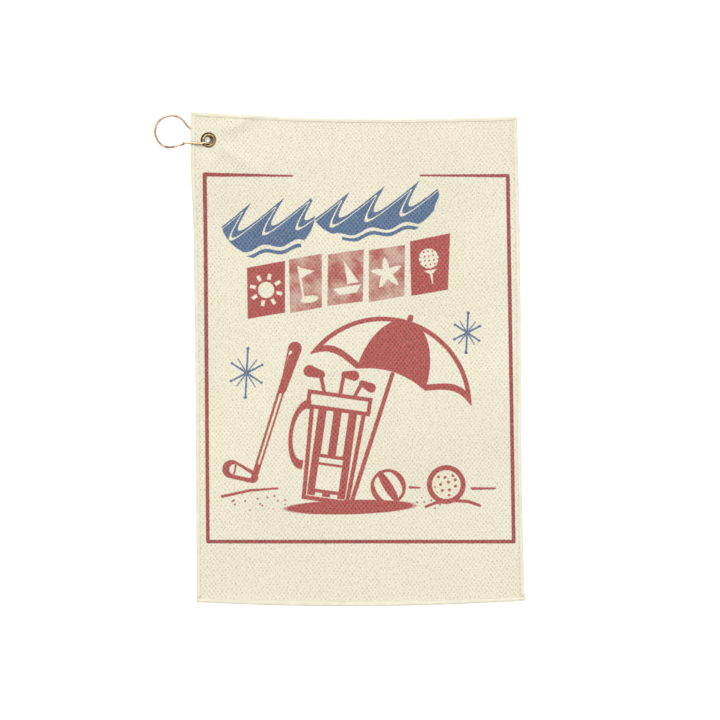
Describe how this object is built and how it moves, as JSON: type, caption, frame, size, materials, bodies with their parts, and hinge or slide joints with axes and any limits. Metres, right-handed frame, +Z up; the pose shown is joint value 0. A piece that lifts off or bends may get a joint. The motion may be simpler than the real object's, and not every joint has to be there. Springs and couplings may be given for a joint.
{
  "type": "golf towel",
  "caption": "Waffle-weave golf towel laid flat, with overlocked edges, a brass corner grommet and a pear-shaped wire hook whose arm springs open.",
  "frame": {"origin": "on the surface the towel lies on, under the middle of its bounding box, hook included", "axes": "+Z up, out of the printed face; +Y along the long side towards the grommet end; +X across the towel, away from the grommet"},
  "size_m": [0.464, 0.6152, 0.0126],
  "materials": {
    "waffle_cloth": "waffle-weave microfibre, cream, printed in red and blue",
    "overlock_thread": "fluffy overlock thread, pale cream",
    "antique_brass": "antiqued, darker in its hollows",
    "copper_wire": "copper-plated steel wire, polished"
  },
  "bodies": {
    "towel": {"towel_cloth": "waffle_cloth", "overlock_top": "overlock_thread", "overlock_right": "overlock_thread", "overlock_bottom": "overlock_thread", "overlock_left": "overlock_thread", "thread_tail_top_right": "overlock_thread", "thread_tail_bottom_right": "overlock_thread", "grommet": "antique_brass", "grommet_washer": "antique_brass"},
    "hook": {"hook_wire": "copper_wire"},
    "gate": {"hook_gate_arm": "copper_wire"}
  },
  "joints": [
    {"name": "hook_swing", "type": "hinge", "parent": "towel", "child": "hook", "pos_m": [-0.16401, 0.27207, 0.00495], "axis": [0, 0, 1], "range_deg": [-120, 45]},
    {"name": "gate", "type": "hinge", "parent": "hook", "child": "gate", "pos_m": [-0.16675, 0.26799, 0.00865], "axis": [0, 0, -1], "range_deg": [0, 12], "stiffness_Nm_per_rad": 0.2, "springref_deg": -2.86}
  ]
}
